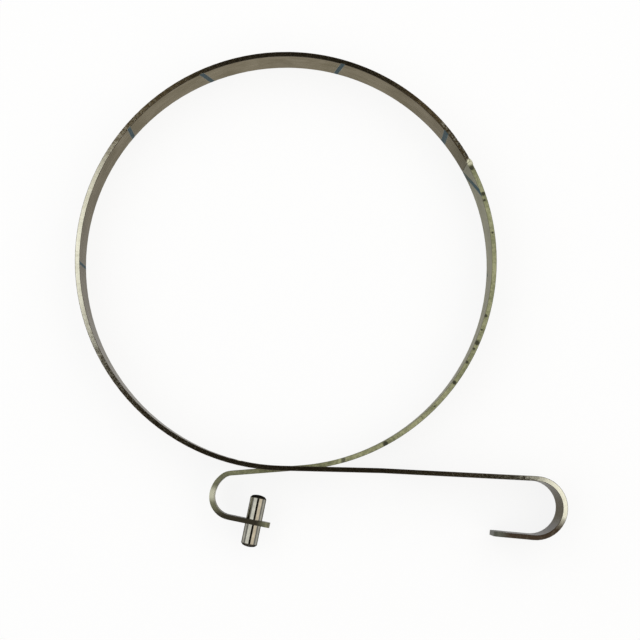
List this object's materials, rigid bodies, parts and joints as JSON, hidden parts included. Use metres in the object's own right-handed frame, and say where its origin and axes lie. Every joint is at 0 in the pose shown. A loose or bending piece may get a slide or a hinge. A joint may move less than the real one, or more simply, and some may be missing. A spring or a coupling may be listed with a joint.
{
  "type": "spring band hose clamp",
  "caption": "Spring band clamp: a flat strip ring whose ends cross through each other and end in hooks; squeezing the hooks opens the ring, a pin crosses the small hook.",
  "frame": {"origin": "centre of the closed ring, at the middle of the strip's width", "axes": "+Z along the hose's axis; the ends cross at the ring's -Y point and the long end leaves towards +X"},
  "size_m": [0.1217, 0.1233, 0.012],
  "materials": {
    "brown_steel": "dark tempered spring strip, bare, lightly rubbed",
    "olive_steel": "pale olive passivated spring strip with small dark specks",
    "weld": "bright bead with a dark heat edge",
    "pin": "ground and polished"
  },
  "bodies": {
    "long_end": {"long_strip": "brown_steel"},
    "short_end": {"crown_strip": "brown_steel", "seam_weld": "weld", "short_strip": "olive_steel", "grip_pin": "pin"}
  },
  "joints": [
    {"name": "band_spread", "type": "hinge", "parent": "long_end", "child": "short_end", "pos_m": [0, 0.05219, 0], "axis": [0, 0, 1], "range_deg": [0, 8], "stiffness_Nm_per_rad": 2.9}
  ]
}
